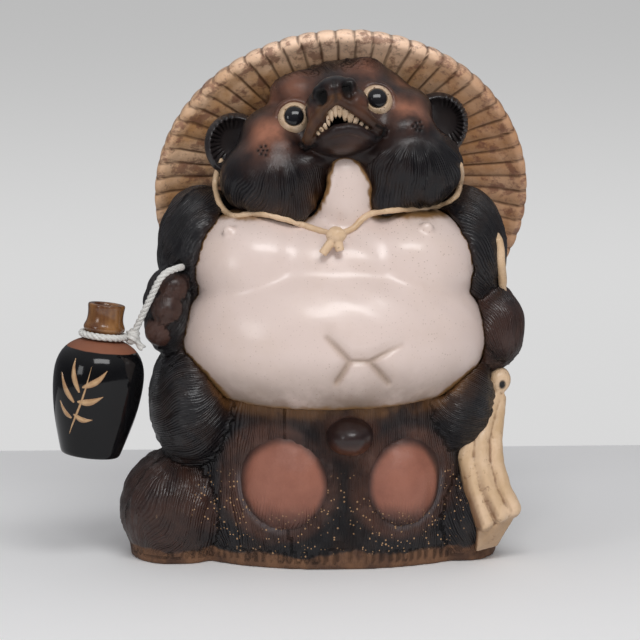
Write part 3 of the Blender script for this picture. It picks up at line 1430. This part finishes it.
# %% Ear glaze
material, tree, shader = finish("ear_glaze", Roughness=0.3)
tint = blend_colours(tree, noise(tree, 50, 4.0), colour(0.012, 0.011, 0.013), colour(0.035, 0.026, 0.024))
tint = blend_colours(tree, stored(tree, "groove"), tint, colour(0.004, 0.003, 0.003))
coat(tree, shader, tint, patches(tree, 60, 0.2, 0.2))
bump(tree, shader, noise(tree, 250, 3.0), 0.25)
for ear in ("ear_left_dish", "ear_right_dish"):
    dress(bpy.data.objects[ear], material)

# %% [markdown]
# Ivory glaze, mottled and specked with brown, covers the eye rings and the teeth. The pupils are glossy
# black.

# %% Ivory and black glazes
material, tree, shader = finish("ivory_glaze", Roughness=0.3)
clouds = rise(tree, noise(tree, 120, 4.0), 0.3, 0.7)
tint = blend_colours(tree, clouds, colour(0.66, 0.50, 0.36), colour(0.48, 0.33, 0.20))
specks = effect(tree, speck_group, Scale=400.0, Size=0.3)
tint = blend_colours(tree, specks, tint, colour(0.14, 0.07, 0.03))
coat(tree, shader, tint, patches(tree, 80, 0.25, 0.2))
bump(tree, shader, noise(tree, 300, 4.0), 0.3)
for piece in ("eye_ring_left", "eye_ring_right", "tooth_row"):
    dress(bpy.data.objects[piece], material)
material, tree, shader = finish("black_glaze", Roughness=0.08, Specular_IOR_Level=0.4)
tint = blend_colours(tree, noise(tree, 90, 3.0), colour(0.006, 0.006, 0.008), colour(0.012, 0.011, 0.013))
coat(tree, shader, tint)
bump(tree, shader, noise(tree, 60, 2.0), 0.1, 0.4)
for piece in ("eye_dome_left", "eye_dome_right"):
    dress(bpy.data.objects[piece], material)

# %% [markdown]
# The hat's glaze is ochre with red and violet brown mottling. It lies dark in the grooves and pale along
# the rim, is browner on the viewer's right and palest at the top.

# %% Straw glaze
OCHRE = colour(0.54, 0.28, 0.12)
PALE_OCHRE = colour(0.82, 0.55, 0.36)
material, tree, shader = finish("straw_glaze", Roughness=0.42)
clouds = effect(tree, mottle_group, Scale=24.0, Low=0.35, High=0.68)
tint = blend_colours(tree, clouds, OCHRE, PALE_OCHRE)
tint = blend_colours(tree, times(tree, stored(tree, "rim"), 0.45), tint, PALE_OCHRE)
place = add(tree, "ShaderNodeTexCoord").outputs["Object"]
place = add(tree, "ShaderNodeSeparateXYZ", {0: place})
browner = times(tree, rise(tree, place.outputs["X"], 0.03, 0.13), 0.5)
tint = blend_colours(tree, browner, tint, colour(0.36, 0.15, 0.06))
tint = blend_colours(tree, rise(tree, place.outputs["Z"], 0.36, 0.392), tint, colour(1.0, 0.70, 0.50))
burns = effect(tree, mottle_group, Scale=75.0, Low=0.5, High=0.62)
tint = blend_colours(tree, times(tree, burns, 0.7), tint, colour(0.20, 0.078, 0.05))
fine = effect(tree, mottle_group, Scale=210.0, Low=0.55, High=0.7)
tint = blend_colours(tree, times(tree, fine, 0.45), tint, colour(0.16, 0.055, 0.045))
groove = rise(tree, stored(tree, "groove"), 0.55, 0.95)
tint = blend_colours(tree, times(tree, groove, 0.8), tint, colour(0.085, 0.038, 0.018))
coat(tree, shader, tint, patches(tree, 70, 0.3, 0.28))
bump(tree, shader, sums(tree, "ADD", noise(tree, 260, 4.0), noise(tree, 70, 2.0)), 0.5)
dress(hat, material)

# %% [markdown]
# The cord, the ledger and the strap are tan, browner in their creases and on the cut ends of the pages.

# %% Tan glaze
material, tree, shader = finish("tan_glaze", Roughness=0.35)
clouds = rise(tree, noise(tree, 40, 4.0), 0.3, 0.7)
tint = blend_colours(tree, clouds, colour(0.72, 0.52, 0.35), colour(0.56, 0.38, 0.22))
tint = blend_colours(tree, times(tree, stored(tree, "hollow"), 0.85), tint, colour(0.15, 0.065, 0.025))
tint = blend_colours(tree, stored(tree, "dark"), tint, colour(0.004, 0.004, 0.005))
spots = effect(tree, mottle_group, Scale=150.0, Low=0.6, High=0.7)
tint = blend_colours(tree, times(tree, spots, 0.6), tint, colour(0.17, 0.08, 0.035))
coat(tree, shader, tint, patches(tree, 70, 0.25, 0.22))
bump(tree, shader, noise(tree, 240, 4.0), 0.4)
for node in TAN_PIECES:
    dress(bpy.data.objects[node + "_clay"], material)

# %% [markdown]
# The bottle is dipped in glossy black to just below the neck, which leaves a band of bare red clay. The
# collar is amber, and the sprig is cream slip with brown edges.

# %% Bottle glazes
DIP_LINE = (79.5, 80.3)
material, tree, shader = finish("bottle_glaze", Roughness=0.1, Specular_IOR_Level=0.3)
uneven = sums(tree, "MULTIPLY_ADD", noise(tree, 45, 3.0), 2.0, -1.0)
bare = rise(tree, sums(tree, "ADD", stored(tree, "rise"), uneven), *DIP_LINE)
black = blend_colours(tree, noise(tree, 25, 4.0), colour(0.002, 0.002, 0.0025), colour(0.006, 0.006, 0.007))
clay = blend_colours(tree, noise(tree, 90, 4.0), colour(0.26, 0.10, 0.055), colour(0.20, 0.075, 0.042))
tint = blend_colours(tree, bare, black, clay)
coat(tree, shader, tint, sums(tree, "MULTIPLY_ADD", bare, 0.5, 0.1))
bump(tree, shader, noise(tree, 60, 3.0), 0.15, 0.5)
dress(pot, material)
material, tree, shader = finish("amber_glaze", Roughness=0.18, Coat_Weight=0.3, Coat_Roughness=0.06)
runs = rise(tree, noise(tree, 60, 4.0, stretch=(1, 1, 0.3)), 0.3, 0.7)
tint = blend_colours(tree, runs, colour(0.085, 0.028, 0.010), colour(0.30, 0.14, 0.045))
coat(tree, shader, tint)
bump(tree, shader, noise(tree, 110, 3.0), 0.2, 0.5)
dress(collar, material)

material, tree, shader = finish("brushed_slip", Roughness=0.3)
streaks = rise(tree, noise(tree, 120, 4.0), 0.3, 0.7)
tint = blend_colours(tree, streaks, colour(0.56, 0.37, 0.20), colour(0.40, 0.23, 0.11))
tint = blend_colours(tree, stored(tree, "rim"), tint, colour(0.14, 0.055, 0.022))
coat(tree, shader, tint)
bump(tree, shader, noise(tree, 300, 3.0), 0.15)
dress(sprig, material)

# %% [markdown]
# The rope is undyed cotton.

# %% Rope finish
material, tree, shader = finish("rope_cotton", Roughness=0.85, Sheen_Weight=0.2)
tint = blend_colours(tree, noise(tree, 300, 4.0), colour(0.74, 0.73, 0.70), colour(0.52, 0.51, 0.48))
coat(tree, shader, tint)
bump(tree, shader, noise(tree, 900, 4.0), 0.3)
for piece in (rope, loop, knot):
    dress(piece, material)

# %% [markdown]
# A plain pale floor and soft light from above and in front, as in a small studio.

# %% Floor and light
FLOOR_FRONT = -1.2
FLOOR_BACK = 0.43
FLOOR_SIDE = 1.2
LAMP_AIM = Vector((0, 0, 0.18))
bm = bmesh.new()
bmesh.ops.create_grid(bm, x_segments=2, y_segments=2, size=1)
floor_middle = Matrix.Translation((0, (FLOOR_FRONT + FLOOR_BACK) / 2, 0))
floor_size = Matrix.Diagonal((FLOOR_SIDE, (FLOOR_BACK - FLOOR_FRONT) / 2, 1, 1))
bmesh.ops.transform(bm, matrix=floor_middle @ floor_size, verts=bm.verts)
floor = as_piece("floor", bm)
material, tree, shader = finish("floor_paint", Roughness=0.7)
tint = blend_colours(tree, noise(tree, 3, 4.0), colour(0.92, 0.92, 0.92), colour(0.97, 0.97, 0.97))
coat(tree, shader, tint)
dress(floor, material)
floor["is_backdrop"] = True

world = bpy.data.worlds.new("studio")
world.use_nodes = True
scene.world = world
tree = world.node_tree
sky = tree.nodes["Background"]
heading = add(tree, "ShaderNodeSeparateXYZ", {0: add(tree, "ShaderNodeTexCoord").outputs["Generated"]})
overhead = rise(tree, heading.outputs["Z"], 0.1, 0.9)
room = blend_colours(tree, overhead, colour(0.13, 0.13, 0.14), colour(0.50, 0.50, 0.51))
direct = add(tree, "ShaderNodeLightPath").outputs["Is Camera Ray"]
higher = rise(tree, heading.outputs["Z"], -0.1, 0.05)
wall = blend_colours(tree, higher, colour(0.69, 0.69, 0.69), colour(0.50, 0.50, 0.50))
tree.links.new(blend_colours(tree, direct, room, wall), sky.inputs["Color"])
sky.inputs["Strength"].default_value = 1.0


def softbox(name, place, size, power, glare=True):
    """A square lamp that faces the statue; without glare it isn't seen in the glaze."""
    lamp = bpy.data.lights.new(name, "AREA")
    lamp.shape = "RECTANGLE"
    lamp.size, lamp.size_y = size
    lamp.energy = power
    holder = bpy.data.objects.new(name, lamp)
    holder.location = place
    holder.visible_glossy = glare
    holder.rotation_euler = (LAMP_AIM - Vector(place)).to_track_quat("-Z", "Y").to_euler()
    scene.collection.objects.link(holder)


softbox("key", (0.15, -1.3, 1.5), (1.2, 0.5), 15)
softbox("window", (-1.7, -1.5, 0.8), (0.5, 0.7), 5)
softbox("front", (0.5, -2.7, 0.45), (2.0, 0.8), 17, glare=False)

# %% [markdown]
# The box round the finished pieces is stored beside the box round the solids, so the two can be compared.

# %% The finished sizes
low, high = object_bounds()
print("visual box", list(low), list(high))
